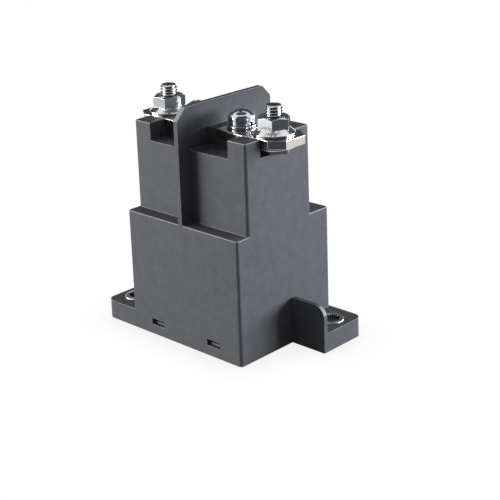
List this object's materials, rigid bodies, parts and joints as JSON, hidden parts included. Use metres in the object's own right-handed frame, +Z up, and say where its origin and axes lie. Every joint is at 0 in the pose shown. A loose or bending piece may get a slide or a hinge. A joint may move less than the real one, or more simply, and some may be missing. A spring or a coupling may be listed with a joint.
{
  "type": "dc contactor",
  "caption": "High voltage dc contactor: moulded housing with mounting feet and a barrier between two screw terminals, over a sealed arc chamber and a solenoid.",
  "frame": {"origin": "middle of the base, on the surface that it stands on", "axes": "+Z up, +X along the line of the two terminals, -Y towards the face seen on the left in the picture"},
  "size_m": [0.0826, 0.0464, 0.0856],
  "materials": {
    "housing_plastic": "fine matt texture",
    "cover_plastic": "fine matt texture",
    "ceramic": "fired alumina, smooth and opaque",
    "collar_metal": "nickel iron, satin",
    "shield_plastic": "satin",
    "yoke_steel": "zinc plated",
    "contact_copper": "drawn copper",
    "shaft_steel": "ground",
    "spring_steel": "drawn wire",
    "core_iron": "turned soft iron",
    "sleeve_steel": "drawn",
    "bobbin_plastic": "moulded",
    "winding_copper": "enamelled wire",
    "bush_metal": "nickel plated",
    "terminal_plating": "bright tin plate on copper",
    "stud_steel": "zinc plated",
    "nut_steel": "zinc plated",
    "washer_steel": "zinc plated",
    "screw_steel": "zinc plated, slightly blue",
    "magnet_iron": "sintered magnet",
    "tab_plating": "tin plated brass"
  },
  "bodies": {
    "base": {"housing": "housing_plastic", "bottom_cover": "cover_plastic", "arc_chamber": "ceramic", "chamber_collar": "collar_metal", "arc_shield": "shield_plastic", "magnet_strap": "yoke_steel", "fixed_core": "core_iron", "core_sleeve": "sleeve_steel", "yoke_frame": "yoke_steel", "yoke_plate": "yoke_steel", "coil_bobbin": "bobbin_plastic", "coil_winding": "winding_copper", "return_spring": "spring_steel", "mounting_bush_left": "bush_metal", "mounting_bush_right": "bush_metal", "terminal_plate_left": "terminal_plating", "terminal_plate_right": "terminal_plating", "terminal_stud_left": "stud_steel", "terminal_stud_right": "stud_steel", "flange_nut_left": "nut_steel", "flange_nut_right": "nut_steel", "flat_washer_left": "washer_steel", "flat_washer_right": "washer_steel", "spring_washer_left": "washer_steel", "spring_washer_right": "washer_steel", "terminal_screw_left": "screw_steel", "terminal_screw_right": "screw_steel", "fixed_contact_left": "contact_copper", "fixed_contact_right": "contact_copper", "blowout_magnet_left": "magnet_iron", "blowout_magnet_right": "magnet_iron", "coil_tab_left": "tab_plating", "coil_tab_right": "tab_plating"},
    "armature": {"plunger": "core_iron", "drive_shaft": "shaft_steel", "retaining_ring": "spring_steel", "contact_spring": "spring_steel"},
    "bridge": {"moving_contact": "contact_copper"}
  },
  "joints": [
    {"name": "armature_slide", "type": "slide", "parent": "base", "child": "armature", "axis": [0, 0, 1], "range_m": [0, 0.0023], "stiffness_N_per_m": 500, "springref_m": -0.004, "deforming": ["return_spring"]},
    {"name": "bridge_slide", "type": "slide", "parent": "armature", "child": "bridge", "axis": [0, 0, 1], "range_m": [-0.00051, 0], "deforming": ["contact_spring"]}
  ],
  "couplings": [
    {"joint": "bridge_slide", "follows": "armature_slide", "ratio": -0.2217}
  ]
}
